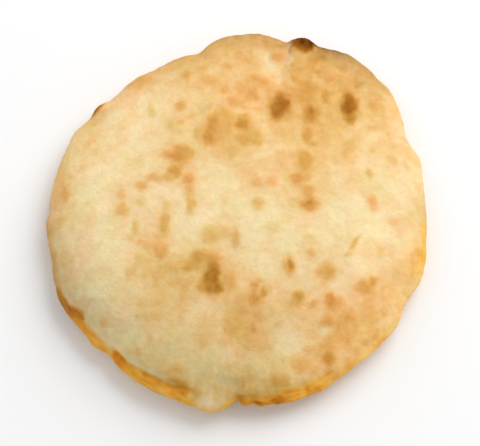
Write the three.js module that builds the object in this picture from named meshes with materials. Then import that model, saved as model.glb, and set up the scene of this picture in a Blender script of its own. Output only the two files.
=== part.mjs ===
// A round puffed flatbread, baked in one piece and lying on its flat, browned underside.
// Millimetres, +Z up. The origin is on the table, under the middle of the bread.

import * as THREE from "three";
import { mergeVertices } from "three/addons/utils/BufferGeometryUtils.js";

// Driving dimensions.
const RIM_RADIUS = 89.5; // before the rim's bulges and nicks
const CROWN_HEIGHT = 28.5; // puffed middle above the table
const RIM_HEIGHT = 8.5; // widest line of the rim above the table
const FOOT_RADIUS = 58; // flat part of the underside
const DOME_FULLNESS = 2.15; // 2 is a half ellipse, more is flatter on top and steeper at the rim

// The rim's bulges and nicks: middle angle and half width in degrees from +X, and how far the rim stands out.
const RIM_BULGES = [
  { at: 17, spread: 4, out: 2.2 }, // swollen right side
  { at: 25, spread: 5, out: -2.2 },
  { at: 47, spread: 3, out: -1.3 }, // scallop in the shoulder
  { at: 50, spread: 16, out: 11.5 }, // long shoulder at the far right
  { at: 73, spread: 4, out: -2.3 }, // dip beside the scorched blister
  { at: 86, spread: 10, out: 5.8 }, // lobe at the far end
  { at: 102.5, spread: 2.3, out: -2.5 }, // step beside that lobe
  { at: 126, spread: 4, out: 0.8 },
  { at: 128, spread: 20, out: -4.6 }, // flattened side at the far left
  { at: 152, spread: 4, out: 1.5 },
  { at: 186, spread: 4, out: 1.2 },
  { at: 195, spread: 8, out: -1 },
  { at: 206, spread: 8, out: 2.8 },
  { at: 230, spread: 2, out: -1.7 }, // step where the near lip begins
  { at: 251, spread: 15, out: 3.3 },
  { at: 263, spread: 4.5, out: 3.6 }, // drooping tongue at the near end
  { at: 270.5, spread: 2.5, out: -1.8 },
  { at: 288, spread: 13, out: 3.5 },
  { at: 322, spread: 12, out: 3.2 },
  { at: 331.5, spread: 3, out: -1.8 }, // nick at the near right
  { at: 342, spread: 6, out: 1.9 },
];
// A bulge at the rim dies out towards the middle by this power of the reach.
const BULGE_FADE = 5;

// Stretches where the lower crust stands out as a lip, with a crease between it and the upper crust.
const LIPS = [
  { at: 230, spread: 18, out: 1.9 },
  { at: 288, spread: 12, out: 1.6 },
  { at: 358, spread: 14, out: 1 },
];
const LIP_TURN = -0.02; // place on the section, from 1 at the crown through 0 at the rim to -1 at the foot
const LIP_SPREAD = 0.08;
const CREASE_TURN = 0.14;
const CREASE_SPREAD = 0.05;
const CREASE_SHARE = 0.8; // depth of the crease over the lip's width

// Scorched blisters that stand up on the rim: angle and half width in degrees, and height.
const RIM_BLISTERS = [
  { at: 69.8, spread: 2.7, out: 3.5 },
  { at: 141, spread: 2.4, out: 1.2 },
];
const BLISTER_TURN = 0.18;
const BLISTER_SPREAD = 0.12;

// Broad swells and hollows of the upper crust: place, half width and height.
const SWELLS = [
  { x: -30, y: -28, spread: 34, rise: 2.5 }, // fuller near the left
  { x: 40, y: 45, spread: 30, rise: -2 }, // sunk at the far right
  { x: 18, y: 80, spread: 9, rise: -1.5 }, // fold behind the far lobe
  { x: -12, y: 66, spread: 14, rise: 1 },
  { x: 58, y: -18, spread: 18, rise: 1.2 },
];

// Cells of the square block that the round is pressed from.
const CELLS_ACROSS = 42;
const CELLS_UP_THE_RIM = 14;
const RIM_CROWDING = 1.5; // above 1 the rows up the rim lie closer together towards the upper crust
const SHOULDER_TURN = 0.32; // where the top of the block ends and its sides begin
const UNDER_TURN = -0.66; // where its sides end and its underside begins

const QUARTER_TURN = Math.PI / 2;
const bell = (distance, spread) => Math.exp(-0.5 * (distance / spread) ** 2);

// Degrees from one angle to another the short way round.
function degreesApart(angle, other) {
  return Math.abs(THREE.MathUtils.euclideanModulo(angle - other + 180, 360) - 180);
}

// Sum of the features of a list at one angle of the rim.
function aroundTheRim(features, degrees) {
  return features.reduce(
    (sum, feature) => sum + feature.out * bell(degreesApart(degrees, feature.at), feature.spread),
    0,
  );
}

// Height of the upper crust at a reach from 0 in the middle to 1 at the rim.
function domeHeight(reach) {
  const rise = CROWN_HEIGHT - RIM_HEIGHT;
  return RIM_HEIGHT + rise * (1 - reach ** DOME_FULLNESS) ** (1 / DOME_FULLNESS);
}

// Height of the underside: flat over the foot, then a quarter ellipse up to the rim.
function undersideHeight(reach) {
  const foot = FOOT_RADIUS / RIM_RADIUS;
  const along = Math.max(0, (reach - foot) / (1 - foot));
  return RIM_HEIGHT * (1 - Math.sqrt(1 - along ** 2));
}

// Reach of the half section at a turn from 1 at the crown through 0 at the rim to -1 at the foot's edge.
function sectionReach(turn) {
  const swing = Math.cos(turn * QUARTER_TURN);
  if (turn >= 0) return swing ** (2 / DOME_FULLNESS);
  const foot = FOOT_RADIUS / RIM_RADIUS;
  return foot + (1 - foot) * swing;
}

// Turn, reach and height of a point of the block, whose corners are at 1 and -1.
function sectionPoint(ring, level) {
  if (level === 1) {
    const reach = ring * sectionReach(SHOULDER_TURN);
    return { turn: 1 + ring * (SHOULDER_TURN - 1), reach, height: domeHeight(reach) };
  }
  if (level === -1) {
    const reach = ring * sectionReach(UNDER_TURN);
    return { turn: -1 + ring * (UNDER_TURN + 1), reach, height: undersideHeight(reach) };
  }
  const drop = ((1 - level) / 2) ** RIM_CROWDING;
  const turn = THREE.MathUtils.lerp(SHOULDER_TURN, UNDER_TURN, drop);
  const reach = sectionReach(turn);
  return { turn, reach, height: turn >= 0 ? domeHeight(reach) : undersideHeight(reach) };
}

// Angle of a point of the square block on the round: each square ring becomes a circle of even steps.
function roundAngle(x, y) {
  if (Math.abs(x) > Math.abs(y)) return (x < 0 ? Math.PI : 0) + (Math.PI / 4) * (y / x);
  if (y === 0) return 0;
  return (y < 0 ? -QUARTER_TURN : QUARTER_TURN) - (Math.PI / 4) * (x / y);
}

// Lift of the upper crust by its swells, which die out at the rim.
function swellHeight(x, y, reach) {
  const inner = 1 - reach ** BULGE_FADE;
  return SWELLS.reduce(
    (sum, swell) => sum + inner * swell.rise * bell(Math.hypot(x - swell.x, y - swell.y), swell.spread),
    0,
  );
}

// One point of the bread for one point of the block.
function breadPoint(block) {
  const ring = Math.max(Math.abs(block.x), Math.abs(block.y));
  const angle = roundAngle(block.x, block.y);
  const degrees = THREE.MathUtils.radToDeg(angle);
  const { turn, reach, height } = sectionPoint(ring, block.z);

  const lip = aroundTheRim(LIPS, degrees);
  const blister = aroundTheRim(RIM_BLISTERS, degrees) * bell(turn - BLISTER_TURN, BLISTER_SPREAD);
  const radius =
    reach * RIM_RADIUS +
    aroundTheRim(RIM_BULGES, degrees) * reach ** BULGE_FADE +
    lip * bell(turn - LIP_TURN, LIP_SPREAD) -
    lip * CREASE_SHARE * bell(turn - CREASE_TURN, CREASE_SPREAD) +
    blister;

  const x = radius * Math.cos(angle);
  const y = radius * Math.sin(angle);
  const lift = turn > 0 ? swellHeight(x, y, reach) + blister : 0;
  return new THREE.Vector3(x, y, height + lift);
}

// The whole bread: a block of dough pressed into the round, then centred over the origin.
function breadGeometry() {
  const block = new THREE.BoxGeometry(2, 2, 2, CELLS_ACROSS, CELLS_ACROSS, CELLS_UP_THE_RIM);
  block.deleteAttribute("normal");
  block.deleteAttribute("uv");
  const dough = mergeVertices(block);
  const position = dough.getAttribute("position");
  for (let i = 0; i < position.count; i++) {
    const point = breadPoint(new THREE.Vector3().fromBufferAttribute(position, i));
    position.setXYZ(i, point.x, point.y, point.z);
  }
  dough.computeBoundingBox();
  const middle = dough.boundingBox.getCenter(new THREE.Vector3());
  dough.translate(-middle.x, -middle.y, 0);
  dough.computeVertexNormals();
  return dough;
}

const crust = new THREE.MeshStandardMaterial({ color: 0xecc98c, roughness: 0.8, metalness: 0 });

const flatbread = new THREE.Mesh(breadGeometry(), crust);
flatbread.name = "flatbread";

const part = new THREE.Group();
part.add(flatbread);

export default part;
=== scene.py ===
# A round puffed flatbread: its baked crust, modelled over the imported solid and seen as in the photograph.

import math
from collections import namedtuple

import bmesh
import bpy
import numpy as np
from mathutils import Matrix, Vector, noise
from mathutils.bvhtree import BVHTree


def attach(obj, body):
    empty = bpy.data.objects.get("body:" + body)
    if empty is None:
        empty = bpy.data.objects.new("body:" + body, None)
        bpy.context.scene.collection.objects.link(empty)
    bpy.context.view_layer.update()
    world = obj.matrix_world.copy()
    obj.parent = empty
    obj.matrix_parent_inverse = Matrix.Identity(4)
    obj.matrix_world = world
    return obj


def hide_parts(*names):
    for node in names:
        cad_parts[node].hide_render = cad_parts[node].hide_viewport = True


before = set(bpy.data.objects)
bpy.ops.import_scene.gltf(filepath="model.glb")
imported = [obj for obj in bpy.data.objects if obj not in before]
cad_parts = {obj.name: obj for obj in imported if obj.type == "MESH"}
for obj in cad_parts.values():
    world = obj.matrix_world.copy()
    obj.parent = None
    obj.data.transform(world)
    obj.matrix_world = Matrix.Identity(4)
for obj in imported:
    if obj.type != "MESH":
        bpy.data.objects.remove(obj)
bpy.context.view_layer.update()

MM = 0.001
UP = Vector((0.0, 0.0, 1.0))

# The photograph's frame in pixels, and where it was taken from in metres.
PHOTO_WIDE = 480
PHOTO_TALL = 446
PIXEL = 0.474 * MM  # covered by one pixel at the aim
EYE_ELEVATION = math.radians(70)
EYE_DISTANCE = 0.7
AIM = Vector((1.5, -4.2, 9.0)) * MM
SENSOR_MM = 36.0

# The block of dough that is pressed against the solid from inside.
CRUST_CELLS = 180  # across the upper crust and across the underside
RIM_ROWS = 40  # from the upper crust round to the underside
RIM_DEPTH = 9.0 * MM  # from the block's core out to the rim
RIM_STEPS = 720  # at which the outline is measured
RIM_SECTORS = 72  # in each of which the widest point is looked for
FAR_OUT = 0.3  # from where the outline is measured
FACET_SMOOTHING = 6  # times that the solid's facets are smoothed over
FACET_EASE = 0.5  # share of the way to its neighbours that a point moves each time

# Marks read off the photograph: the middle, width and height in pixels, how strong each is, its turn in
# degrees, and how olive it is, or rosy below zero.
Mark = namedtuple("Mark", "across down wide tall strength turn olive", defaults=(0, 0.0))

# Browned blisters of the upper crust. Their strength is how brown they are: 0.1 is bare cream, 0.5 tan,
# 1 dark brown and 1.5 char.
BLISTERS = [
    # Far right.
    Mark(281, 105, 21, 23, 0.94),
    Mark(284, 101, 12, 10, 1.02),
    Mark(276, 112, 12, 16, 0.90),
    Mark(350, 103, 16, 23, 1.06),
    Mark(350, 118, 10, 13, 0.78),
    Mark(312, 113, 15, 21, 0.82),
    Mark(306, 99, 22, 11, 0.57),
    Mark(308, 130, 12, 11, 0.50),
    Mark(306, 136, 11, 14, 0.62, olive=0.2),
    Mark(313, 142, 13, 8, 0.46, olive=0.5),
    Mark(327, 96, 8, 12, 0.68, olive=0.3),
    Mark(306, 89, 25, 16, 0.60),
    Mark(298, 76, 7, 10, 0.50, turn=20),
    Mark(307, 158, 20, 19, 0.60, olive=0.3),
    Mark(297, 178, 15, 10, 0.62, turn=10, olive=-0.3),
    Mark(307, 177, 10, 9, 0.46),
    Mark(309, 190, 14, 15, 0.50, olive=0.2),
    Mark(309, 204, 17, 14, 0.74, olive=-0.2),
    Mark(374, 202, 9, 16, 0.44, turn=8, olive=-0.6),
    Mark(368, 172, 8, 10, 0.40, olive=0.4),
    Mark(351, 145, 13, 14, 0.44, olive=0.4),
    Mark(354, 157, 10, 10, 0.30),
    Mark(373, 127, 14, 7, 0.36),
    Mark(393, 112, 12, 16, 0.28, olive=-0.4),
    Mark(374, 150, 9, 6, 0.32),
    Mark(387, 157, 7, 6, 0.30),
    Mark(325, 127, 14, 10, 0.36, olive=0.5),
    Mark(283, 132, 22, 10, 0.36),
    Mark(275, 157, 11, 8, 0.26, olive=0.5),
    Mark(303, 65, 18, 10, 0.44),
    Mark(318, 56, 12, 10, 0.48),
    Mark(277, 56, 11, 11, 0.50, olive=-0.4),
    Mark(345, 78, 12, 13, 0.44),
    Mark(364, 69, 12, 14, 0.44, turn=-30),
    Mark(382, 88, 15, 11, 0.36, turn=-40),
    Mark(268, 42, 10, 12, 0.46),
    Mark(238, 39, 14, 8, 0.46),
    # Far left.
    Mark(254, 94, 14, 15, 0.54, olive=-0.5),
    Mark(243, 88, 9, 14, 0.48, olive=-0.4),
    Mark(233, 100, 11, 10, 0.50, olive=-0.7),
    Mark(243, 123, 16, 13, 0.76, olive=0.3),
    Mark(242, 117, 13, 9, 0.56, olive=0.2),
    Mark(244, 138, 20, 13, 0.55, olive=0.3),
    Mark(257, 139, 13, 15, 0.52, olive=0.3),
    Mark(254, 131, 15, 13, 0.48, olive=0.2),
    Mark(233, 150, 18, 14, 0.42, olive=0.4),
    Mark(208, 139, 13, 19, 0.74, olive=-0.2),
    Mark(219, 124, 32, 34, 0.50, turn=20),
    Mark(224, 117, 20, 16, 0.54),
    Mark(227, 128, 15, 17, 0.50),
    Mark(213, 124, 11, 24, 0.64),
    Mark(201, 134, 14, 16, 0.44, olive=0.3),
    Mark(209, 79, 22, 11, 0.44),
    Mark(181, 106, 11, 10, 0.52, olive=0.2),
    Mark(172, 126, 14, 14, 0.30, olive=0.4),
    Mark(151, 110, 8, 13, 0.27, olive=0.2),
    Mark(174, 156, 26, 19, 0.62, olive=-0.3),
    Mark(180, 153, 17, 11, 0.60),
    Mark(189, 152, 13, 11, 0.52, turn=30),
    Mark(176, 171, 14, 15, 0.66, turn=-15, olive=0.4),
    Mark(154, 178, 16, 9, 0.42, turn=-5, olive=-0.2),
    Mark(169, 176, 18, 9, 0.48, turn=12),
    Mark(142, 185, 13, 9, 0.46, olive=-0.2),
    Mark(190, 178, 12, 15, 0.54, turn=-10, olive=-0.5),
    Mark(190, 188, 9, 12, 0.44),
    Mark(189, 200, 10, 18, 0.44, olive=0.5),
    Mark(166, 204, 9, 9, 0.31, olive=0.6),
    Mark(141, 203, 10, 9, 0.26, olive=0.7),
    Mark(122, 209, 13, 14, 0.46),
    Mark(122, 193, 8, 12, 0.36),
    Mark(65, 196, 7, 15, 0.50, olive=0.3),
    Mark(96, 152, 7, 6, 0.24, olive=0.5),
    Mark(124, 127, 7, 6, 0.22, olive=0.5),
    # Middle.
    Mark(164, 225, 10, 22, 0.54, turn=-5, olive=0.6),
    Mark(136, 227, 7, 12, 0.36, olive=0.6),
    Mark(160, 253, 13, 15, 0.54, olive=-0.4),
    Mark(150, 246, 14, 12, 0.36),
    Mark(212, 237, 18, 18, 0.44, olive=0.8),
    Mark(222, 232, 28, 13, 0.30),
    Mark(235, 240, 8, 19, 0.38, olive=0.2),
    Mark(212, 260, 20, 13, 0.62),
    Mark(213, 272, 18, 21, 0.98, olive=0.4),
    Mark(212, 286, 19, 15, 0.94, olive=0.4),
    Mark(203, 285, 12, 11, 0.62, olive=0.3),
    Mark(217, 286, 12, 12, 0.84, olive=0.4),
    Mark(198, 259, 23, 14, 0.58, turn=25, olive=0.2),
    Mark(192, 266, 22, 13, 0.58, olive=0.2),
    Mark(231, 283, 15, 27, 0.48),
    Mark(181, 267, 30, 11, 0.42, olive=0.6),
    Mark(257, 181, 12, 11, 0.40),
    Mark(271, 181, 15, 10, 0.40, olive=-0.4),
    Mark(258, 202, 12, 12, 0.40, olive=0.5),
    Mark(275, 226, 14, 12, 0.20, olive=0.6),
    Mark(312, 238, 16, 9, 0.22, olive=0.6),
    # Near right.
    Mark(290, 266, 12, 18, 0.48, turn=12),
    Mark(291, 265, 7, 13, 0.76, turn=15, olive=0.5),
    Mark(327, 272, 20, 18, 0.50, turn=15, olive=-0.1),
    Mark(330, 271, 11, 10, 0.60, olive=0.3),
    Mark(299, 295, 13, 12, 0.66, olive=0.8),
    Mark(295, 303, 11, 9, 0.52),
    Mark(313, 303, 14, 8, 0.46, turn=15),
    Mark(334, 304, 20, 15, 0.56, turn=-35),
    Mark(330, 300, 12, 12, 0.66),
    Mark(364, 286, 19, 13, 0.58, turn=5),
    Mark(373, 282, 9, 11, 0.66),
    Mark(264, 293, 8, 10, 0.68),
    Mark(254, 300, 18, 15, 0.62),
    Mark(241, 311, 14, 10, 0.46),
    Mark(255, 286, 10, 13, 0.52, olive=-0.3),
    Mark(253, 328, 13, 11, 0.54, olive=-0.3),
    Mark(232, 321, 24, 21, 0.46, olive=0.3),
    Mark(243, 303, 26, 22, 0.40),
    Mark(256, 312, 14, 12, 0.42),
    Mark(329, 321, 15, 13, 0.56, olive=-0.2),
    Mark(368, 303, 26, 17, 0.42),
    Mark(327, 351, 24, 20, 0.48),
    Mark(331, 338, 14, 10, 0.48),
    Mark(356, 350, 10, 9, 0.46),
    Mark(350, 313, 12, 11, 0.52),
    Mark(372, 315, 14, 15, 0.44),
    Mark(385, 314, 10, 12, 0.44),
    Mark(328, 358, 14, 12, 0.80),
    Mark(279, 382, 20, 15, 0.58, turn=-10),
    Mark(251, 391, 18, 11, 0.43, olive=0.6),
    Mark(300, 369, 15, 12, 0.50),
    Mark(308, 351, 12, 9, 0.50),
    Mark(314, 371, 7, 8, 0.46),
    Mark(312, 253, 8, 11, 0.36),
    Mark(353, 245, 5, 16, 0.50, turn=-30, olive=0.8),
    Mark(348, 254, 9, 5, 0.34, turn=10, olive=0.6),
    Mark(381, 251, 11, 13, 0.26),
    Mark(394, 222, 15, 9, 0.28),
    Mark(384, 297, 7, 7, 0.38),
    Mark(377, 337, 9, 7, 0.58),
    Mark(380, 342, 16, 9, 0.52, turn=35),
    Mark(262, 346, 7, 10, 0.36),
    Mark(246, 345, 7, 8, 0.36),
    # Near left.
    Mark(176, 371, 28, 24, 0.38, olive=0.7),
    Mark(181, 381, 20, 9, 0.60, turn=-15, olive=0.7),
    Mark(199, 391, 14, 12, 0.38, olive=0.7),
    Mark(138, 354, 8, 10, 0.34),
    Mark(104, 323, 8, 8, 0.32),
    Mark(156, 316, 10, 10, 0.32),
    Mark(204, 337, 10, 14, 0.34),
    Mark(140, 304, 8, 8, 0.36),
    Mark(163, 272, 7, 9, 0.34),
    Mark(138, 256, 9, 7, 0.32),
]

# Wide stretches with soft ends that the oven browned more, and paler ones below zero.
TOASTED_STRETCHES = [
    Mark(312, 84, 120, 80, 0.28),
    Mark(335, 62, 110, 44, 0.18, turn=-28),
    Mark(380, 100, 50, 70, 0.08, turn=-40),
    Mark(225, 70, 130, 60, 0.20, turn=15),
    Mark(225, 130, 110, 50, 0.22),
    Mark(303, 180, 50, 70, 0.18),
    Mark(340, 145, 70, 60, 0.08),
    Mark(393, 148, 44, 50, 0.12),
    Mark(300, 180, 30, 24, 0.08),
    Mark(174, 274, 70, 80, 0.22),
    Mark(240, 318, 90, 60, 0.18),
    Mark(248, 393, 56, 34, 0.16),
    Mark(362, 335, 90, 90, 0.26, turn=30),
    Mark(335, 335, 50, 50, 0.08),
    Mark(305, 376, 110, 44, 0.18),
    Mark(58, 215, 24, 110, 0.14),
    Mark(172, 78, 28, 12, 0.10, turn=15),
    Mark(213, 67, 12, 9, 0.08),
    Mark(224, 56, 14, 10, 0.09),
    Mark(287, 87, 14, 10, 0.10),
    Mark(236, 381, 24, 18, 0.05),
    Mark(92, 320, 20, 20, 0.08),
    Mark(134, 356, 20, 12, 0.11, turn=-25),
    Mark(152, 367, 20, 10, 0.09, turn=-25),
    Mark(152, 324, 26, 16, 0.09),
    Mark(162, 309, 18, 12, 0.09),
    Mark(140, 176, 14, 10, 0.09),
    Mark(104, 122, 16, 14, 0.08),
    Mark(398, 152, 14, 14, 0.08),
    Mark(398, 284, 14, 14, 0.10),
    Mark(230, 212, 12, 12, 0.06),
    Mark(146, 230, 14, 10, 0.08),
    Mark(385, 285, 26, 34, 0.13),
    Mark(135, 269, 22, 34, 0.13),
    Mark(150, 316, 40, 20, 0.06),
    Mark(226, 203, 22, 24, 0.07),
    Mark(143, 160, 22, 24, 0.08),
    Mark(95, 130, 50, 44, 0.12, turn=40),
    Mark(68, 178, 24, 60, 0.10),
    Mark(400, 272, 40, 40, 0.12),
    Mark(416, 235, 24, 110, 0.10),
    Mark(418, 258, 18, 44, 0.20),
    Mark(138, 84, 40, 18, 0.10, turn=35),
    Mark(250, 302, 70, 50, 0.08),
    Mark(270, 330, 90, 50, 0.06),
    Mark(335, 322, 50, 50, 0.06),
    Mark(185, 352, 90, 50, 0.05),
    Mark(228, 380, 90, 40, 0.06),
    Mark(245, 176, 80, 50, 0.06),
    Mark(160, 235, 60, 80, 0.08),
    Mark(215, 270, 60, 50, 0.05),
    Mark(285, 300, 50, 30, 0.06),
    Mark(300, 88, 70, 30, 0.06),
    Mark(188, 236, 40, 46, -0.12),
    Mark(170, 254, 12, 12, -0.08),
    Mark(326, 259, 14, 10, -0.08),
    Mark(283, 259, 10, 12, -0.10),
    Mark(120, 128, 60, 70, -0.05),
    Mark(210, 66, 60, 40, -0.04),
    Mark(205, 306, 30, 24, -0.12),
    Mark(295, 342, 40, 40, -0.10),
    Mark(270, 66, 26, 36, -0.16, turn=20),
    Mark(170, 283, 16, 14, -0.20),
    Mark(118, 297, 30, 26, -0.07),
    Mark(118, 239, 36, 20, -0.08),
    Mark(158, 201, 16, 12, -0.10),
    Mark(298, 125, 14, 14, -0.12),
    Mark(152, 296, 16, 12, -0.08),
    Mark(122, 344, 16, 14, -0.05),
    Mark(224, 380, 12, 14, -0.12),
    Mark(326, 368, 14, 10, -0.07),
    Mark(393, 303, 12, 12, -0.10),
    Mark(391, 242, 18, 14, -0.10),
    Mark(308, 74, 16, 12, -0.12),
    Mark(224, 74, 14, 12, -0.10),
    Mark(223, 104, 14, 10, -0.08),
    Mark(190, 91, 24, 12, -0.09),
    Mark(314, 319, 16, 14, -0.12),
    Mark(140, 128, 50, 14, -0.07),
    Mark(204, 107, 40, 14, -0.18),
    Mark(264, 112, 18, 26, -0.12),
    Mark(231, 134, 12, 14, -0.10),
    Mark(248, 158, 14, 10, -0.08),
    Mark(283, 158, 24, 20, -0.12),
    Mark(284, 194, 16, 12, -0.08),
    Mark(344, 226, 30, 16, -0.07),
    Mark(175, 254, 18, 20, -0.20),
    Mark(320, 280, 60, 40, -0.05),
    Mark(290, 289, 12, 10, -0.12),
    Mark(341, 295, 14, 12, -0.12),
    Mark(409, 256, 12, 14, -0.06),
    Mark(235, 258, 34, 18, -0.07),
    Mark(262, 268, 44, 26, -0.05),
    Mark(208, 361, 28, 23, -0.12),
    Mark(205, 206, 50, 40, -0.06),
    Mark(268, 212, 50, 30, -0.06),
]

# Painted light and shade: stretches that are lighter than their browning makes them, or darker below zero.
# Most stand in for how the lamps fall: darker on the near left, along the bottom and at the far edge,
# lighter on the left and the near right, and a painted highlight on the lip. A few give the dark blisters
# and the tongue's spot their own darker or paler colour.
SHADE_STRETCHES = [
    Mark(85, 318, 60, 120, -0.21, turn=40),
    Mark(229, 379, 16, 18, -0.10),
    Mark(215, 370, 28, 18, -0.06),
    Mark(370, 255, 28, 44, 0.10),
    Mark(410, 256, 16, 30, 0.10),
    Mark(265, 313, 60, 26, -0.06),
    Mark(285, 338, 50, 30, -0.06),
    Mark(231, 331, 16, 12, 0.08),
    Mark(236, 350, 22, 14, 0.03),
    Mark(278, 106, 18, 22, -0.13),
    Mark(349, 109, 13, 24, -0.10),
    Mark(235, 119, 50, 20, 0.06),
    Mark(320, 80, 18, 14, -0.07),
    Mark(250, 391, 26, 12, 0.10),
    Mark(233, 382, 12, 16, -0.08),
    Mark(235, 240, 9, 18, -0.09),
    Mark(136, 326, 22, 16, -0.05),
    Mark(122, 344, 16, 14, 0.06),
    Mark(150, 368, 26, 10, -0.08, turn=-25),
    Mark(180, 385, 160, 60, -0.14, turn=-10),
    Mark(214, 386, 50, 34, -0.06),
    Mark(207, 404, 18, 16, 0.10),
    Mark(90, 200, 80, 130, 0.06),
    Mark(112, 108, 80, 70, 0.05, turn=35),
    Mark(168, 389, 14, 8, 0.20, turn=-25),
    Mark(330, 332, 30, 22, -0.08),
    Mark(130, 265, 70, 70, 0.06),
    Mark(190, 60, 150, 36, -0.08, turn=20),
    Mark(270, 58, 60, 36, -0.06),
    Mark(345, 350, 130, 90, 0.10, turn=30),
]

# Stretches that look olive, or rosy below zero. The olive ones are painted shade: the greener, greyer cast
# of the crust where it lies in shade, mostly on the near left and along the bottom. The rosy ones make the
# crust warmer there.
OLIVE_STRETCHES = [
    Mark(195, 385, 190, 50, 0.8, turn=-5),
    Mark(255, 392, 60, 30, 0.6),
    Mark(155, 350, 70, 50, 0.4),
    Mark(180, 268, 60, 26, 0.6),
    Mark(120, 95, 60, 40, -0.5, turn=35),
    Mark(255, 92, 40, 30, -0.5),
    Mark(170, 210, 70, 30, -0.3),
    Mark(345, 300, 80, 90, -0.3),
    Mark(226, 388, 60, 26, 0.6),
    Mark(207, 404, 20, 18, -1.2),
]

# Painted shade and light on the rim: stretches darker towards the widest line where the rim turns away from
# the lamps and is partly browner too, and lighter ones along the near rim and its lip, painted brighter than
# the lamps leave them: middle and half width in degrees from +X, how far in they reach in millimetres, and
# how much darker they are there, or lighter below zero.
RimShade = namedtuple("RimShade", "at spread width shade")
RIM_SHADES = [
    RimShade(95, 36, 6.5, 0.24),
    RimShade(84, 9, 8.0, 0.14),
    RimShade(54, 13, 11.0, 0.26),
    RimShade(63, 4, 7.0, 0.18),
    RimShade(60, 7, 7.0, 0.16),
    RimShade(142, 9, 14.0, 0.10),
    RimShade(24, 6, 6.0, 0.08),
    RimShade(0, 5, 5.0, 0.12),
    RimShade(192, 15, 9.0, 0.11),
    RimShade(236, 16, 9.0, -0.26),
    RimShade(262, 8, 12.0, -0.16),
    RimShade(306, 20, 12.0, -0.12),
    RimShade(336, 6, 10.0, -0.14),
]

# Scorched and dark places on the rim: the middle in degrees from +X and in millimetres up from the widest
# line, the size along the rim and up it in millimetres, how brown and how golden they are, and how far they
# stand up in millimetres.
RimMark = namedtuple("RimMark", "at climb wide tall toast golden rise")
RIM_MARKS = [
    RimMark(69.2, 6.8, 11.5, 11.5, 1.16, 0.0, 0.7),
    RimMark(69.0, 6.7, 10.0, 10.5, 1.36, 0.0, 0.0),
    RimMark(141.3, 5.0, 10.0, 7.5, 1.02, 0.0, 0.6),
    RimMark(213.5, 5.0, 8.0, 6.0, 0.90, 0.5, 0.2),
    RimMark(233.0, 3.4, 9.0, 5.0, 0.90, 0.8, 0.0),
    RimMark(245.0, 6.3, 9.0, 3.0, 0.80, 0.9, 0.0),
    RimMark(254.0, 7.2, 7.0, 5.5, 0.82, 0.6, 0.0),
    RimMark(271.8, 4.0, 5.0, 4.5, 0.84, 0.6, 0.2),
    RimMark(281.8, 4.0, 6.0, 5.0, 1.08, 0.9, 0.2),
]

# Small bumps of the outline, and nicks below zero: middle and half width in degrees from +X, and how far
# they stand out in millimetres.
RimBump = namedtuple("RimBump", "at spread out")
RIM_BUMPS = [
    RimBump(30, 1.5, 0.9),
    RimBump(56, 4.0, 0.5),
    RimBump(67, 3.0, -0.8),
    RimBump(76, 1.5, 0.5),
    RimBump(94.5, 2.5, 0.9),
    RimBump(103, 1.8, -1.1),
    RimBump(108, 1.5, -0.7),
    RimBump(118, 2.5, -0.7),
    RimBump(132, 2.0, -0.4),
    RimBump(137, 1.5, -0.6),
    RimBump(145, 1.5, -0.6),
    RimBump(154, 4.5, 0.4),
    RimBump(180, 1.0, -1.0),
    RimBump(183.5, 1.0, 0.4),
    RimBump(216.5, 1.5, -0.7),
    RimBump(220.5, 2.0, -0.4),
    RimBump(229.6, 0.8, -0.5),
    RimBump(236.5, 3.5, -0.5),
    RimBump(270.2, 1.1, -1.6),
    RimBump(272.4, 0.9, 0.8),
    RimBump(274.6, 0.7, -0.5),
    RimBump(276.7, 0.9, 0.5),
    RimBump(281.5, 0.8, 0.4),
    RimBump(284, 5.0, -0.5),
    RimBump(306, 3.0, -0.7),
    RimBump(317, 2.0, -0.7),
]
BUMP_CLIMB = 4.0 * MM  # how far up from the widest line they die out

# Pleats that run in from the rim: middle and half width in degrees from +X, how far in and how deep in
# millimetres.
Pleats = namedtuple("Pleats", "at spread width depth")
PLEATS = [
    Pleats(264, 8, 16, 0.55),
    Pleats(243, 12, 13, 0.30),
    Pleats(284, 12, 13, 0.30),
    Pleats(78, 9, 16, 0.35),
    Pleats(205, 16, 12, 0.20),
]
PLEAT_GAP = 2.4 * MM
PLEAT_LENGTH = 15 * MM
PLEAT_SEED = 19
# The crust is darker in the pleats' hollows and paler on their ridges, by this much per millimetre of depth.
PLEAT_TOAST = 0.16  # per millimetre of depth

# Floury places.
FLOUR_PATCHES = [
    Mark(266, 58, 5, 13, 0.5, turn=15),
    Mark(272, 65, 8, 12, 0.6, turn=40),
    Mark(279, 76, 7, 13, 0.4, turn=12),
    Mark(288, 57, 7, 15, 0.5),
    Mark(288, 46, 7, 11, 0.5),
    Mark(322, 332, 16, 10, 0.4),
    Mark(399, 135, 12, 16, 0.3),
    Mark(205, 306, 26, 16, 0.25, turn=-20),
    Mark(172, 195, 22, 20, 0.2),
    Mark(298, 345, 30, 26, 0.2),
    Mark(207, 403, 13, 13, 0.45),
    Mark(190, 396, 7, 6, 0.22),
    Mark(276, 340, 16, 14, 0.2),
]

# Folds in the crust at the far end: the ends in pixels, half width and depth in millimetres.
Fold = namedtuple("Fold", "start end width depth")
FOLDS = [
    Fold((288, 44), (283, 66), 2.2, 1.0),
    Fold((283, 66), (279, 86), 2.6, 0.6),
    Fold((262, 55), (279, 80), 2.2, 0.5),
]

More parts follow.
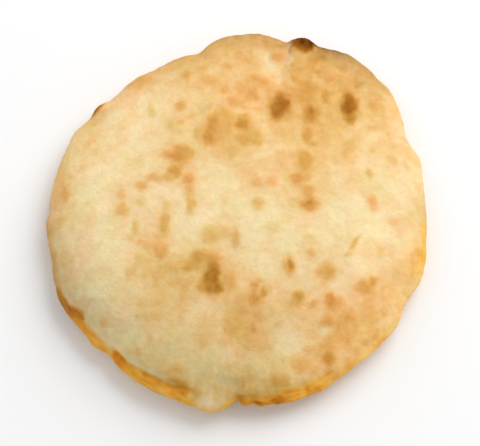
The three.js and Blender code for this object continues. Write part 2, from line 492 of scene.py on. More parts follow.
# Browned stretches of the rim: where they start and end in degrees from +X and how softly, how far up from
# the widest line they reach at each end and how softly in millimetres, how golden and how brown they are,
# and how strong the crease along their inner edge is.
RimBand = namedtuple(
    "RimBand", "start end fade wide_start wide_end soft golden toast crease", defaults=(0.0,),
)
RIM_BANDS = [
    RimBand(203, 215, 3, 4.6, 6.0, 1.4, 0.3, 0.80),
    RimBand(214, 229.5, 2, 6.2, 5.0, 1.4, 1.0, 0.62, 0.2),
    RimBand(229.5, 257.5, 2, 5.4, 8.6, 1.4, 1.0, 0.66, 0.4),
    RimBand(258, 266, 2, 3.2, 3.6, 1.6, 0.5, 0.42),
    RimBand(266, 271, 2, 4.6, 5.0, 2.0, 0.8, 0.52),
    RimBand(270, 284, 4, 5.9, 6.2, 2.6, 1.0, 0.68, 0.12),
    RimBand(281, 299, 4, 9.0, 6.4, 3.2, 1.0, 0.70),
    RimBand(298, 323, 6, 5.0, 6.5, 2.6, 0.6, 0.34),
    RimBand(341, 358, 5, 7.0, 6.0, 2.0, 0.9, 0.40),
    RimBand(179, 188, 3, 4.0, 4.4, 1.4, 0.3, 0.50),
    RimBand(187, 204, 5, 5.2, 6.4, 2.4, 0.0, 0.38),
    RimBand(137, 152, 6, 14.0, 14.0, 3.0, 0.0, 0.26),
    RimBand(121.5, 129.5, 2.5, 16.0, 14.0, 2.5, 0.1, 0.42),
    RimBand(76, 115.5, 3, 15.0, 15.0, 3.0, 0.0, 0.38),
    RimBand(36, 68, 8, 6.0, 11.0, 2.0, 0.0, 0.38),
]


# Soft edges and smooth noise.
NOISE_SHIFT = Vector((17.3, 5.1, 9.7))  # by which a seed of 1 moves the noise, in wavelengths
Lumps = namedtuple("Lumps", "strength wavelength seed")


def smooth_step(low, high, value):
    """0 at low and 1 at high, eased between them."""
    share = np.clip((value - low) / (high - low), 0.0, 1.0)
    return share * share * (3.0 - 2.0 * share)


def bell(distance, spread):
    return np.exp(-0.5 * (distance / spread) ** 2)


def uneven(points, wavelength, seed):
    """Smooth noise between about -1 and 1 at each point, with lumps of about one wavelength."""
    shift = NOISE_SHIFT * seed
    return np.array([noise.noise(Vector(point) / wavelength + shift) for point in points])


def lumpy(points, layers):
    """Sum of layers of smooth noise."""
    return sum(layer.strength * uneven(points, layer.wavelength, layer.seed) for layer in layers)


# Camera, floor and light.
FLOOR_SIZE = 8.0
FLOOR_DROP = 0.2 * MM  # below the bread's flat underside
FLOOR_COLOR = (0.93, 0.93, 0.93, 1.0)
FLOOR_ROUGHNESS = 0.9
SKY_COLOR = (1.0, 1.0, 1.0, 1.0)
SKY_STRENGTH = 0.59
LAMP_DISTANCE = 1.4
LAMP_SIZE = 1.3
# Soft lamps: name, azimuth and elevation in degrees, and watts.
LAMPS = [
    ("key_softbox", 48, 42, 15.2),
    ("left_softbox", 160, 26, 2.4),
]


def eye_axes():
    """The directions right, up and ahead of the photograph."""
    lean, drop = math.cos(EYE_ELEVATION), math.sin(EYE_ELEVATION)
    return Vector((1.0, 0.0, 0.0)), Vector((0.0, drop, lean)), Vector((0.0, lean, -drop))


def eye_place():
    return AIM - eye_axes()[2] * EYE_DISTANCE


def place_camera():
    lens = bpy.data.cameras.new("photo_camera")
    lens.sensor_width = SENSOR_MM
    lens.lens = SENSOR_MM * EYE_DISTANCE / (PHOTO_WIDE * PIXEL)
    camera = bpy.data.objects.new("photo_camera", lens)
    camera.location = eye_place()
    camera.rotation_euler = (math.pi / 2 - EYE_ELEVATION, 0.0, 0.0)
    bpy.context.scene.collection.objects.link(camera)
    bpy.context.scene.camera = camera


def sight_line(across, down):
    """The direction from the eye through a pixel of the photograph."""
    right, up, ahead = eye_axes()
    aside = right * (across - PHOTO_WIDE / 2) * PIXEL
    above = up * (PHOTO_TALL / 2 - down) * PIXEL
    return (ahead * EYE_DISTANCE + aside + above).normalized()


def seen_at(places):
    """The pixels of the photograph, across and down, that the places are seen at."""
    right, up, ahead = (np.array(axis) for axis in eye_axes())
    offset = places - np.array(eye_place())
    scale = EYE_DISTANCE / PIXEL / (offset @ ahead)
    across = PHOTO_WIDE / 2 + offset @ right * scale
    down = PHOTO_TALL / 2 - offset @ up * scale
    return np.stack([across, down], axis=1)


def lay_floor():
    bm = bmesh.new()
    bmesh.ops.create_grid(bm, x_segments=1, y_segments=1, size=FLOOR_SIZE / 2)
    bmesh.ops.translate(bm, verts=bm.verts[:], vec=-UP * FLOOR_DROP)
    mesh = bpy.data.meshes.new("pale_floor")
    bm.to_mesh(mesh)
    bm.free()
    paint = bpy.data.materials.new("pale_floor")
    paint.use_nodes = True
    paint.node_tree.nodes["Principled BSDF"].inputs["Base Color"].default_value = FLOOR_COLOR
    paint.node_tree.nodes["Principled BSDF"].inputs["Roughness"].default_value = FLOOR_ROUGHNESS
    mesh.materials.append(paint)
    floor = bpy.data.objects.new("pale_floor", mesh)
    bpy.context.scene.collection.objects.link(floor)


def light_studio():
    world = bpy.data.worlds.new("soft_sky")
    world.use_nodes = True
    world.node_tree.nodes["Background"].inputs["Color"].default_value = SKY_COLOR
    world.node_tree.nodes["Background"].inputs["Strength"].default_value = SKY_STRENGTH
    bpy.context.scene.world = world
    for name, azimuth, elevation, watts in LAMPS:
        light = bpy.data.lights.new(name, "AREA")
        light.shape = "DISK"
        light.size = LAMP_SIZE
        light.energy = watts
        lamp = bpy.data.objects.new(name, light)
        round_by, lean = math.radians(azimuth), math.radians(elevation)
        level = Vector((math.cos(round_by), math.sin(round_by), 0.0))
        towards = level * math.cos(lean) + UP * math.sin(lean)
        lamp.location = towards * LAMP_DISTANCE
        lamp.rotation_euler = towards.to_track_quat("Z", "Y").to_euler()
        lamp.visible_camera = False
        bpy.context.scene.collection.objects.link(lamp)
    bpy.context.scene.view_settings.view_transform = "Standard"


# The solid that the crust follows.
EVENING_STEPS = 49  # of the outline, that its small bulges and nicks are evened out over


def rim_height(solid):
    """Mean height of the solid's widest points, sector by sector."""
    points = np.array([vertex.co for vertex in solid.data.vertices])
    reach = np.hypot(points[:, 0], points[:, 1])
    turns = np.arctan2(points[:, 1], points[:, 0]) / (2 * np.pi) + 0.5
    sector = (turns * RIM_SECTORS).astype(int) % RIM_SECTORS
    heights = [points[sector == s][np.argmax(reach[sector == s]), 2] for s in range(RIM_SECTORS)]
    return float(np.mean(heights))


def rim_outline(tree, height):
    """Angles round the rim and the solid's reach at each."""
    angles = np.arange(RIM_STEPS) * 2 * np.pi / RIM_STEPS
    reaches = []
    for angle in angles:
        outward = Vector((math.cos(angle), math.sin(angle), 0.0))
        hit = tree.ray_cast(outward * FAR_OUT + UP * height, -outward)[0]
        reaches.append(hit.xy.length)
    return angles, np.array(reaches)


def evened(outline):
    """The outline with its small bulges and nicks smoothed away."""
    angles, reaches = outline
    half = EVENING_STEPS // 2
    ring = np.concatenate([reaches[-half:], reaches, reaches[:half]])
    return angles, np.convolve(ring, np.ones(EVENING_STEPS) / EVENING_STEPS, mode="valid")


def reach_at(outline, angle):
    return np.interp(angle, *outline, period=2 * np.pi)


# The crust's shape.
def round_angle(x, y):
    """Angle on the round of a point of the square block: each square ring becomes a circle of even steps."""
    if abs(x) > abs(y):
        return (math.pi if x < 0 else 0.0) + math.pi / 4 * y / x
    if y == 0:
        return 0.0
    return (-math.pi / 2 if y < 0 else math.pi / 2) - math.pi / 4 * x / y


def dough_block():
    """A cube with fine cells on its upper and lower faces and rows round its sides."""
    bm = bmesh.new()
    bmesh.ops.create_cube(bm, size=2.0)
    upright = [e for e in bm.edges if abs(e.verts[0].co.z - e.verts[1].co.z) > 1]
    bmesh.ops.subdivide_edges(bm, edges=upright, cuts=RIM_ROWS - 1, use_grid_fill=True)
    level = [e for e in bm.edges if abs(e.verts[0].co.z - e.verts[1].co.z) < 0.5 / RIM_ROWS]
    bmesh.ops.subdivide_edges(bm, edges=level, cuts=CRUST_CELLS - 1, use_grid_fill=True)
    return bm


def press_to_solid(bm, tree, outline, height):
    """Pushes each point of the block from a flat core onto the solid: up, down or fanned out at the rim."""
    for vert in bm.verts:
        x, y, level = vert.co
        angle = round_angle(x, y)
        outward = Vector((math.cos(angle), math.sin(angle), 0.0))
        core = max(abs(x), abs(y)) * (reach_at(outline, angle) - RIM_DEPTH)
        start = outward * core + UP * height
        tilt = level * math.pi / 2
        way = outward * math.cos(tilt) + UP * math.sin(tilt)
        hit = tree.ray_cast(start, way)[0] or tree.find_nearest(start + way * RIM_DEPTH)[0]
        vert.co = hit
    for _ in range(FACET_SMOOTHING):
        bmesh.ops.smooth_vert(
            bm, verts=bm.verts[:], factor=FACET_EASE, use_axis_x=True, use_axis_y=True, use_axis_z=True,
        )
    bm.normal_update()


# Each point's place and outward direction, its bearing in degrees, its distance in from the outline in plan,
# its distance up the crust from the widest line and from an evened one, the pixel it is seen at, a frayed
# copy of its place, and the mottling there.
Surface = namedtuple("Surface", "places normals bearing edge climb even_climb pixels frayed mottle")
WARP = (2.5 * MM, 12 * MM, (1, 2, 3))  # strength, wavelength, and a seed for each axis
FRAY = (0.9 * MM, 3 * MM, (4, 5, 6))
MOTTLE = [Lumps(0.6, 9 * MM, 21), Lumps(0.4, 4.5 * MM, 22), Lumps(0.2, 2.2 * MM, 23)]


def rim_climb(edge, above):
    """Distance along the crust from the widest line, below zero on the underside."""
    return np.sign(above) * np.hypot(np.maximum(edge, 0.0), above)


def strayed(places, strength, wavelength, seeds):
    """Smooth offsets of the places along each axis."""
    return strength * np.stack([uneven(places, wavelength, seed) for seed in seeds], axis=1)


def survey(bm, outline, height):
    places = np.array([vert.co for vert in bm.verts])
    normals = np.array([vert.normal for vert in bm.verts])
    angles = np.arctan2(places[:, 1], places[:, 0])
    radii = np.hypot(places[:, 0], places[:, 1])
    above = places[:, 2] - height
    edge = reach_at(outline, angles) - radii
    even_edge = reach_at(evened(outline), angles) - radii
    return Surface(
        places=places,
        normals=normals,
        bearing=np.degrees(angles),
        edge=edge,
        climb=rim_climb(edge, above),
        even_climb=rim_climb(even_edge, above),
        pixels=seen_at(places),
        frayed=places + strayed(places, *WARP) + strayed(places, *FRAY),
        mottle=lumpy(places, MOTTLE),
    )


# Ragged marks, in half sizes from their middle: how far they reach, the strength and wavelength of the bends
# and frays of their edge, a seed for each axis, and the wavelength and seed of their uneven inside.
MARK_REACH = 3.2
MARK_BENDS = (0.38, 1.1)
MARK_FRAYS = (0.22, 0.45)
MARK_EDGE_SEEDS = (0.2, 0.4)
MARK_INSIDE_WAVE = 0.5
MARK_INSIDE_SEED = 0.6
SEED_ACROSS = 0.37  # for each pixel
SEED_DOWN = 0.73
STRETCH_FALL = 0.72  # a soft stretch is about half as strong at its edge

# Layers of patches for a wavelength of 1 and a seed of 0, and where a patch starts and is full.
PATCH_LAYERS = [Lumps(0.6, 1.0, 0.0), Lumps(0.3, 0.5, 0.3), Lumps(0.2, 0.25, 0.6)]
PATCH_EDGE = (-0.12, 0.15)
RIM_RADIUS = 92 * MM  # at which lengths along the rim are measured


def degrees_past(bearing, middle):
    """Degrees from a bearing round to each point the short way."""
    return (bearing - middle + 180) % 360 - 180


def mark_offsets(pixels, mark):
    """Offsets from the middle of a mark along its width and along its height, each over half its size."""
    aside, above = pixels[:, 0] - mark.across, mark.down - pixels[:, 1]
    turn = math.radians(mark.turn)
    along = aside * math.cos(turn) + above * math.sin(turn)
    beside = above * math.cos(turn) - aside * math.sin(turn)
    return along / (mark.wide / 2), beside / (mark.tall / 2)


def depth_offsets(places, tree, mark):
    """Offsets out of the crust from the middle of a mark, over half its larger size."""
    middle, out = tree.ray_cast(eye_place(), sight_line(mark.across, mark.down))[:2]
    if middle is None:
        return np.zeros(len(places))
    return (places - np.array(middle)) @ np.array(out) / (max(mark.wide, mark.tall) / 2 * PIXEL)


def ragged(along, beside, away, seed):
    """The points near a mark, how far each is from its middle, where 1 is its edge, and an unevenness."""
    near = np.flatnonzero(np.sqrt(along ** 2 + beside ** 2 + away ** 2) < MARK_REACH)
    local = np.stack([np.append(values[near], 0) for values in (along, beside, away)], axis=1)
    bends = []
    for step in MARK_EDGE_SEEDS:
        bends.append(lumpy(local, [Lumps(*MARK_BENDS, seed + step), Lumps(*MARK_FRAYS, seed + step)]))
    shift = np.stack([*bends, np.zeros(len(local))], axis=1)
    distance = np.linalg.norm(local + shift - shift[-1], axis=1)
    inside = uneven(local, MARK_INSIDE_WAVE, seed + MARK_INSIDE_SEED)
    return near, distance[:-1], inside[:-1]


def ragged_mark(surface, tree, mark):
    along, beside = mark_offsets(surface.pixels, mark)
    seed = SEED_ACROSS * mark.across + SEED_DOWN * mark.down
    return ragged(along, beside, depth_offsets(surface.places, tree, mark), seed)


def stretches(pixels, marks):
    """Sum of soft marks."""
    total = np.zeros(len(pixels))
    for mark in marks:
        along, beside = mark_offsets(pixels, mark)
        total += mark.strength * np.exp(-STRETCH_FALL * (along ** 2 + beside ** 2))
    return total


def patches(points, wavelength, seed):
    """Uneven patches with soft edges, from 0 to 1."""
    layers = [Lumps(each.strength, each.wavelength * wavelength, each.seed + seed) for each in PATCH_LAYERS]
    return smooth_step(*PATCH_EDGE, lumpy(points, layers))


def rim_grain(surface, along, inward, seed):
    """Smooth noise near the rim with one wavelength along it and another up from it."""
    angles = np.radians(surface.bearing)
    round_the_rim = np.stack([np.cos(angles), np.sin(angles)], axis=1) * RIM_RADIUS / along
    return uneven(np.column_stack([round_the_rim, surface.climb / inward]), 1.0, seed)


def brown(toast, target, cover):
    """Browns towards a target where it covers, and never makes anything paler."""
    return toast + np.maximum(0.0, target - toast) * cover


# Browning of the upper crust: bare, in patches of browned stretches, in patches all over, and by mottling.
BARE_TOAST = 0.08
STRETCH_PATCHES = ((14 * MM, 24), (8 * MM, 26))  # wavelengths and seeds
STRETCH_SHARES = (0.7, 1.3)  # of a stretch's browning, beside its patches and on them
CRUST_PATCHES = (11 * MM, 28)
CRUST_PATCH_TOAST = 0.1
MOTTLE_TOAST = 0.015
MOTTLE_SHARE = 0.18  # of the browning

# Small flecks scattered over the browner crust: how many are tried and how far out, their size and depth,
# how far each reaches and where it starts and is full, in sizes, and how many are kept as the crust browns.
FLECK_TRIES = 420
FLECK_REACH = 0.93
FLECK_SIZE = (1.1 * MM, 3.4 * MM)
FLECK_TOAST = (0.06, 0.17)
FLECK_SPAN = 2
FLECK_EDGE = (1.3, 0.2)
FLECK_KEPT = 3
FLECK_SEED = 7

# Blisters and the paler halo round each: where it starts and is full, in half sizes from its middle.
HALO_EDGE = (2.6, 0.8)
HALO_COVER = 0.5
HALO_TOAST = 0.04
HALO_SHARE = 0.4  # of the blister's browning
BLISTER_EDGE = (1.5, 0.35)
BLISTER_LEVEL = 0.98
BLISTER_MOTTLE = 0.18
OLIVE_EDGE = (1.8, 0.5)
RISE_EDGE = (1.5, 0.2)
BLISTER_RISE = 0.04  # height over its smaller width


def fleck_toast(surface, toast, reach):
    """Browning by small seeded flecks."""
    dice = np.random.default_rng(FLECK_SEED)
    added = np.zeros(len(toast))
    for _ in range(FLECK_TRIES):
        angle = dice.uniform(0, 2 * np.pi)
        radius = FLECK_REACH * reach * math.sqrt(dice.uniform(0, 1))
        size = dice.uniform(*FLECK_SIZE)
        depth = dice.uniform(*FLECK_TOAST)
        keep = dice.uniform(0, 1)
        offset = surface.frayed[:, :2] - radius * np.array([math.cos(angle), math.sin(angle)])
        near = np.flatnonzero(np.abs(offset).max(axis=1) < FLECK_SPAN * size)
        if not len(near) or keep > FLECK_KEPT * (toast[near].mean() - BARE_TOAST):
            continue
        distance = np.hypot(offset[near, 0], offset[near, 1]) / size
        added[near] = np.maximum(added[near], depth * smooth_step(*FLECK_EDGE, distance))
    return added


def plain_toast(surface, pixels, reach):
    """Browning of the upper crust without its blisters."""
    plates = np.mean([patches(surface.frayed, *layer) for layer in STRETCH_PATCHES], axis=0)
    toast = BARE_TOAST + stretches(pixels, TOASTED_STRETCHES) * np.interp(plates, (0, 1), STRETCH_SHARES)
    toast += CRUST_PATCH_TOAST * (patches(surface.frayed, *CRUST_PATCHES) - 0.5)
    toast += (MOTTLE_TOAST + MOTTLE_SHARE * np.maximum(toast, 0)) * surface.mottle
    return toast + fleck_toast(surface, toast, reach)


def brown_crust(surface, tree, reach):
    """How browned and how olive the upper crust and its blisters are, and how far the blisters rise."""
    pixels = seen_at(surface.frayed)
    toast = plain_toast(surface, pixels, reach)
    olive = stretches(pixels, OLIVE_STRETCHES)
    rise = np.zeros(len(toast))
    for blister in BLISTERS:
        near, distance, inside = ragged_mark(surface, tree, blister)
        halo = HALO_SHARE * blister.strength + HALO_TOAST
        toast[near] = brown(toast[near], halo, HALO_COVER * smooth_step(*HALO_EDGE, distance))
        target = blister.strength * (BLISTER_LEVEL + BLISTER_MOTTLE * inside)
        toast[near] = brown(toast[near], target, smooth_step(*BLISTER_EDGE, distance))
        olive[near] += blister.olive * smooth_step(*OLIVE_EDGE, distance)
        swell = min(blister.wide, blister.tall) * PIXEL * BLISTER_RISE
        rise[near] = np.maximum(rise[near], swell * smooth_step(*RISE_EDGE, distance))
    return toast, olive, rise


# Browning of the rim: how the edges of its bands wander, their streaks, their crease and the lip beside it,
# and where a dark place starts and is full, in half sizes from its middle.
Streaks = namedtuple("Streaks", "strength along inward seed")
BAND_WANDER = Lumps(1.8, 5 * MM, 18)  # of the ends of a band, in degrees
BAND_WOBBLE = 0.8 * MM  # of the inner edge of a band
BAND_UNDER = (-8 * MM, -3 * MM)  # where a band ends below the widest line
RIM_STREAKS = [Streaks(0.6, 9 * MM, 1.8 * MM, 16), Streaks(0.5, 4 * MM, 1.5 * MM, 17)]
STREAK_SHARE = 0.2  # of a band's browning
GOLDEN_STREAK_SHARE = 0.45  # added where the band is golden
# Along each crease the crust is darker, partly a browned seam and partly painted shade in its groove.
CREASE_LEVEL = 0.5
CREASE_WIDTH = 0.9 * MM
CREASE_DEPTH = 1.8 * MM
LIP_SWELL = 0.3 * MM
RIM_MARK_SEED = 220
RIM_MARK_EDGE = (1.4, 0.6)
RIM_MARK_MOTTLE = 0.08


def band_rim(surface, toast):
    """The browning with the rim's bands, how golden they are, and how they raise the crust."""
    golden = np.zeros(len(toast))
    lift = np.zeros(len(toast))
    streaks = sum(s.strength * rim_grain(surface, s.along, s.inward, s.seed) for s in RIM_STREAKS)
    wander = lumpy(surface.places, [BAND_WANDER])
    for band in RIM_BANDS:
        half = (band.end - band.start) / 2
        past = degrees_past(surface.bearing, band.start + half)
        along = smooth_step(half + band.fade, half - band.fade, np.abs(past + wander))
        wide = np.interp(past, [-half, half], [band.wide_start, band.wide_end]) * MM
        climb = surface.even_climb if band.crease else surface.climb
        depth = climb - wide - BAND_WOBBLE * surface.mottle
        cover = along * smooth_step(band.soft * MM, -band.soft * MM, depth) * smooth_step(*BAND_UNDER, climb)
        streaked = 1 + (STREAK_SHARE + GOLDEN_STREAK_SHARE * band.golden) * streaks
        toast = brown(toast, band.toast * streaked, cover)
        crease = along * bell(depth, CREASE_WIDTH)
        # Darker along the crease: a browned seam and painted shade in the groove.
        toast = toast + band.crease * np.maximum(0.0, crease * (CREASE_LEVEL + surface.mottle))
        lift += band.crease * (LIP_SWELL * cover - CREASE_DEPTH * crease)
        golden = np.maximum(golden, band.golden * cover)
    return toast, golden, lift


def scorch_rim(surface, toast, golden, lift):
    """Browns, gilds and raises the rim's dark places."""
    for number, mark in enumerate(RIM_MARKS):
        past = np.radians(degrees_past(surface.bearing, mark.at))
        along = past * RIM_RADIUS / (mark.wide / 2 * MM)
        beside = (surface.climb - mark.climb * MM) / (mark.tall / 2 * MM)
        near, distance, inside = ragged(along, beside, np.zeros(len(toast)), RIM_MARK_SEED + number)
        cover = smooth_step(*RIM_MARK_EDGE, distance)
        toast[near] = brown(toast[near], mark.toast * (1 + RIM_MARK_MOTTLE * inside), cover)
        golden[near] = np.maximum(golden[near], mark.golden * cover)
        lift[near] += mark.rise * MM * smooth_step(*RISE_EDGE, distance)


# Relief of the crust.
SMALL_LUMPS = [
    Lumps(0.35 * MM, 24 * MM, 10),
    Lumps(0.2 * MM, 10 * MM, 11),
    Lumps(0.07 * MM, 4 * MM, 12),
    Lumps(0.04 * MM, 2.2 * MM, 13),
]
CRINKLES = [Lumps(0.5 * MM, 7 * MM, 14), Lumps(0.3 * MM, 3.5 * MM, 15)]
CRINKLE_CLIMB = (12 * MM, 2 * MM)  # where they start and are full


def pleat_depth(surface):
    """Depth of the pleats near the rim, below zero in their hollows."""
    strength = np.zeros(len(surface.climb))
    for pleats in PLEATS:
        near = bell(degrees_past(surface.bearing, pleats.at), pleats.spread)
        strength += pleats.depth * MM * near * bell(surface.climb, pleats.width * MM)
    return strength * rim_grain(surface, PLEAT_GAP, PLEAT_LENGTH, PLEAT_SEED)


def fold_lift(surface, fold):
    """Lift of the crust by a fold, below zero along its line."""
    pixels = seen_at(surface.frayed)
    start, end = np.array(fold.start), np.array(fold.end)
    span = end - start
    share = np.clip((pixels - start) @ span / (span @ span), 0.0, 1.0)
    aside = np.linalg.norm(pixels - start - share[:, None] * span, axis=1) * PIXEL
    return -fold.depth * MM * bell(aside, fold.width * MM)


def small_relief(surface):
    """Lumps of the whole crust, and the crinkles and bumps of the rim."""
    lumps = lumpy(surface.places, SMALL_LUMPS)
    lumps += lumpy(surface.places, CRINKLES) * smooth_step(*CRINKLE_CLIMB, surface.climb)
    at_rim = bell(surface.climb, BUMP_CLIMB)
    for bump in RIM_BUMPS:
        lumps += bump.out * MM * bell(degrees_past(surface.bearing, bump.at), bump.spread) * at_rim
    return lumps


# Underside, flour and painted light and shade.
BELOW_TOAST = 0.24
BELOW_MOTTLE = [Lumps(0.12, 14 * MM, 7), Lumps(0.1, 6 * MM, 8)]
BELOW_SPOTS = Lumps(0.35, 11 * MM, 9)
BELOW_SPOT_EDGE = (0.15, 0.5)
BELOW_RIM = (20 * MM, 4 * MM)  # distance in from the outline where the rim's browning starts and is full
BELOW_RIM_SHARE = 0.3
BELOW_RIM_BARE = 0.1  # browning of the rim that adds none
FLOUR_EDGE = (1.6, 0.1)
FLOUR_MOTTLE = 0.5
UPPER_CLIMB = (-7 * MM, -1.5 * MM)  # from the underside to the upper crust


def underside_toast(surface, toast):
    """Browning of the underside, which lay on the oven floor."""
    spots = uneven(surface.places, BELOW_SPOTS.wavelength, BELOW_SPOTS.seed)
    below = BELOW_TOAST + lumpy(surface.places, BELOW_MOTTLE)
    below += BELOW_SPOTS.strength * smooth_step(*BELOW_SPOT_EDGE, spots)
    near_rim = BELOW_RIM_SHARE * smooth_step(*BELOW_RIM, surface.edge)
    return below + near_rim * (toast - BELOW_RIM_BARE)


def dusting(surface, tree):
    """How floury each point is."""
    flour = np.zeros(len(surface.places))
    for patch in FLOUR_PATCHES:
        near, distance, inside = ragged_mark(surface, tree, patch)
        floury = patch.strength * smooth_step(*FLOUR_EDGE, distance) * (1 + FLOUR_MOTTLE * inside)
        flour[near] = np.maximum(flour[near], floury)
    return flour


def shading(surface):
    """Painted light and shade: how much lighter each point is than its browning makes it, darker below zero.
    """
    shade = stretches(seen_at(surface.frayed), SHADE_STRETCHES)
    for dark in RIM_SHADES:
        along = np.exp(-0.5 * (degrees_past(surface.bearing, dark.at) / dark.spread) ** 4)
        shade -= dark.shade * along * bell(surface.climb, dark.width * MM)
    return shade


Crust = namedtuple("Crust", "toast flour golden shade olive")


def bake(bm, tree, outline, height):
    """Raises the crust's relief and returns each point's browning, flour, gold, painted light and shade, and
    olive.
    """
    surface = survey(bm, outline, height)
    upper = smooth_step(*UPPER_CLIMB, surface.climb)
    toast, olive, rise = brown_crust(surface, tree, outline[1].max())
    toast, golden, rim_lift = band_rim(surface, toast)
    scorch_rim(surface, toast, golden, rim_lift)
    pleats = pleat_depth(surface)
    toast -= PLEAT_TOAST * pleats / MM
    toast = toast * upper + underside_toast(surface, toast) * (1 - upper)
    folds = sum(fold_lift(surface, fold) for fold in FOLDS)
    lift = (rise + rim_lift + pleats + folds + small_relief(surface)) * upper
    for vert, place in zip(bm.verts, surface.places + surface.normals * lift[:, None]):
        vert.co = place
    return Crust(toast, dusting(surface, tree) * upper, golden, shading(surface) * upper, olive * upper)


# The crust's material: colours at levels of browning, linear.
FULL_TOAST = 1.5
CRUST_STOPS = [
    (0.00, (0.855, 0.695, 0.41)),
    (0.10, (0.835, 0.634, 0.343)),
    (0.25, (0.797, 0.525, 0.232)),
    (0.40, (0.75, 0.436, 0.155)),
    (0.55, (0.675, 0.355, 0.098)),
    (0.75, (0.55, 0.255, 0.051)),
    (0.95, (0.435, 0.164, 0.0255)),
    (1.15, (0.36, 0.12, 0.0135)),
    (1.50, (0.05, 0.011, 0.003)),
]
GOLDEN_STOPS = [
    (0.00, (0.86, 0.70, 0.36)),
    (0.25, (0.86, 0.60, 0.20)),
    (0.50, (0.85, 0.46, 0.085)),
    (0.80, (0.78, 0.30, 0.032)),
    (1.10, (0.48, 0.13, 0.013)),
    (1.50, (0.10, 0.02, 0.004)),
]
FLOUR_COLOR = (0.86, 0.74, 0.50, 1.0)
ROSY_TINT = (1.03, 0.965, 0.97, 1.0)
OLIVE_TINT = (0.96, 1.02, 0.93, 1.0)

# Its fine textures: the scale per metre and the detail of each.
MOTTLE_GRAIN = (210.0, 4.0)
DIMPLE_GRAIN = (420.0, 3.0)
SPECKLE_GRAIN = (800.0, 2.0)
WIDE_TINT_GRAIN = (75.0, 2.0)
FINE_TINT_GRAIN = (190.0, 2.0)
WIDE_TINT_SHARE = 1.8
FINE_TINT_SHARE = 1.1
PIT_SCALE = 150.0
PIT_EDGE = (0.05, 0.16)  # distances from its middle between which a pit fades out
PIT_MOTTLE = (-0.02, 0.08)  # mottling between which pits fade out

# What each texture adds for each unit of browning, to bare crust, to the lightness and to the relief.
TOAST_SHARES = {"mottle": 0.42, "pits": 0.10}
BARE_SHARES = {"mottle": -0.02, "speckle": 0.015}
# The lightness is partly painted shading of the fine relief, which the same noise raises, and partly uneven
# tone.
LIGHT_SHARES = {"speckle": 0.12, "dimples": 0.3, "mottle": -0.2}
RELIEF_SHARES = {"speckle": 1.0, "dimples": 1.0, "mottle": 1.0, "pits": -0.5}
RELIEF_STRENGTH = 0.5
RELIEF_DEPTH = 0.35 * MM
CRUST_ROUGHNESS = (0.85, 0.6)  # of bare crust and of dark brown
MIX_FIRST, MIX_SECOND, MIX_RESULT = 6, 7, 2  # the colour sockets of a mix node


class Nodes:
    """Adds nodes to a material and joins them up."""

    def __init__(self, tree):
        self.tree = tree
        self.place = self.add("ShaderNodeTexCoord").outputs["Object"]

    def add(self, kind, **settings):
        made = self.tree.nodes.new(kind)
        for name, value in settings.items():
            setattr(made, name, value)
        return made

    def fill(self, socket, value):
        """Sets a socket to a constant or joins it to an output."""
        if isinstance(value, (int, float, tuple)):
            socket.default_value = value
        else:
            self.tree.links.new(value, socket)

    def math(self, operation, first, second):
        made = self.add("ShaderNodeMath", operation=operation)
        self.fill(made.inputs[0], first)
        self.fill(made.inputs[1], second)
        return made.outputs["Value"]

    def plus(self, first, *others):
        for other in others:
            first = self.math("ADD", first, other)
        return first

    def times(self, first, second):
        return self.math("MULTIPLY", first, second)

    def weighed(self, values, shares):
        """Sum of named values, each times its share."""
        return self.plus(*(self.times(values[name], share) for name, share in shares.items()))

    def mix(self, factor, first, second, blend="MIX"):
        made = self.add("ShaderNodeMix", data_type="RGBA", blend_type=blend)
        self.fill(made.inputs["Factor"], factor)
        self.fill(made.inputs[MIX_FIRST], first)
        self.fill(made.inputs[MIX_SECOND], second)
        return made.outputs[MIX_RESULT]

    def grain(self, scale, detail):
        """Noise between about -0.5 and 0.5."""
        made = self.add("ShaderNodeTexNoise")
        self.fill(made.inputs["Scale"], scale)
        self.fill(made.inputs["Detail"], detail)
        self.fill(made.inputs["Vector"], self.place)
        return self.math("SUBTRACT", made.outputs["Fac"], 0.5)

    def pit_distance(self, scale):
        """Distance from the middle of the nearest of many scattered pits."""
        made = self.add("ShaderNodeTexVoronoi")
        self.fill(made.inputs["Scale"], scale)
        self.fill(made.inputs["Vector"], self.place)
        return made.outputs["Distance"]

    def ramp(self, toast, levels):
        """Colour at a level of browning."""
        made = self.add("ShaderNodeValToRGB")
        stops = made.color_ramp.elements
        while len(stops) < len(levels):
            stops.new(0.5)
        for stop, (level, color) in zip(stops, levels):
            stop.position = level / FULL_TOAST
            stop.color = (*color, 1.0)
        self.fill(made.inputs["Fac"], self.math("DIVIDE", toast, FULL_TOAST))
        return made.outputs["Color"]

    def painted(self, name):
        """A value painted on the points of the crust."""
        return self.add("ShaderNodeAttribute", attribute_name=name).outputs["Fac"]

    def span(self, value, start, end, low=0.0, high=1.0):
        """Goes from start, where a value is low, to end, where it is high."""
        made = self.add("ShaderNodeMapRange")
        self.fill(made.inputs["From Min"], low)
        self.fill(made.inputs["From Max"], high)
        self.fill(made.inputs["To Min"], start)
        self.fill(made.inputs["To Max"], end)
        self.fill(made.inputs["Value"], value)
        return made.outputs["Result"]


def crust_textures(nodes):
    mottle = nodes.grain(*MOTTLE_GRAIN)
    dimples = nodes.grain(*DIMPLE_GRAIN)
    speckle = nodes.grain(*SPECKLE_GRAIN)
    holes = nodes.span(nodes.pit_distance(PIT_SCALE), 1.0, 0.0, *PIT_EDGE)
    pits = nodes.times(holes, nodes.span(mottle, 1.0, 0.0, *PIT_MOTTLE))
    return {"mottle": mottle, "dimples": dimples, "speckle": speckle, "pits": pits}


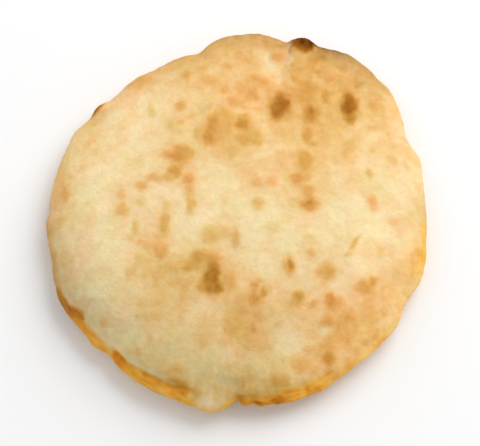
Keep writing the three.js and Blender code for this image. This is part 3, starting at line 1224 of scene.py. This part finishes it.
def crust_color(nodes, toast, textures):
    """Browned, golden or floury, tinted rosy or olive, and lightened or darkened by painted light and shade.
    """
    plain = nodes.ramp(toast, CRUST_STOPS)
    golden = nodes.ramp(toast, GOLDEN_STOPS)
    color = nodes.mix(nodes.painted("golden"), plain, golden)
    color = nodes.mix(nodes.painted("flour"), color, FLOUR_COLOR)
    wide_tint = nodes.times(nodes.grain(*WIDE_TINT_GRAIN), WIDE_TINT_SHARE)
    fine_tint = nodes.times(nodes.grain(*FINE_TINT_GRAIN), FINE_TINT_SHARE)
    tint = nodes.plus(wide_tint, fine_tint, nodes.painted("olive"), 0.5)
    color = nodes.mix(1.0, color, nodes.mix(tint, ROSY_TINT, OLIVE_TINT), "MULTIPLY")
    scaled = nodes.add("ShaderNodeVectorMath", operation="SCALE")
    nodes.fill(scaled.inputs[0], color)
    # Painted light and shade, and lightness from the fine textures.
    lightness = nodes.plus(nodes.painted("shade"), nodes.weighed(textures, LIGHT_SHARES), 1.0)
    nodes.fill(scaled.inputs["Scale"], lightness)
    return scaled.outputs["Vector"]


def crust_relief(nodes, textures):
    bump = nodes.add("ShaderNodeBump")
    nodes.fill(bump.inputs["Strength"], RELIEF_STRENGTH)
    nodes.fill(bump.inputs["Distance"], RELIEF_DEPTH)
    nodes.fill(bump.inputs["Height"], nodes.weighed(textures, RELIEF_SHARES))
    return bump.outputs["Normal"]


def crust_material():
    """Dry baked crust, browned by its painted values, with mottling, pits and dimples."""
    material = bpy.data.materials.new("baked_crust")
    material.use_nodes = True
    nodes = Nodes(material.node_tree)
    textures = crust_textures(nodes)
    painted = nodes.painted("toast")
    deeper = nodes.times(painted, nodes.weighed(textures, TOAST_SHARES))
    toast = nodes.plus(painted, deeper, nodes.weighed(textures, BARE_SHARES))
    shader = material.node_tree.nodes["Principled BSDF"]
    shader.inputs["Specular IOR Level"].default_value = 0.0
    nodes.fill(shader.inputs["Base Color"], crust_color(nodes, toast, textures))
    nodes.fill(shader.inputs["Roughness"], nodes.span(toast, *CRUST_ROUGHNESS))
    nodes.fill(shader.inputs["Normal"], crust_relief(nodes, textures))
    return material


def bake_bread():
    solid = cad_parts["flatbread"]
    tree = BVHTree.FromObject(solid, bpy.context.evaluated_depsgraph_get())
    height = rim_height(solid)
    outline = rim_outline(tree, height)
    bm = dough_block()
    press_to_solid(bm, tree, outline, height)
    crust = bake(bm, tree, outline, height)
    mesh = bpy.data.meshes.new("baked_flatbread")
    bm.to_mesh(mesh)
    bm.free()
    mesh.polygons.foreach_set("use_smooth", [True] * len(mesh.polygons))
    for name, values in crust._asdict().items():
        mesh.attributes.new(name, "FLOAT", "POINT").data.foreach_set("value", values.astype(np.float32))
    mesh.materials.append(crust_material())
    bread = bpy.data.objects.new("baked_flatbread", mesh)
    bpy.context.scene.collection.objects.link(bread)
    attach(bread, "root")
    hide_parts("flatbread")


place_camera()
lay_floor()
light_studio()
bake_bread()
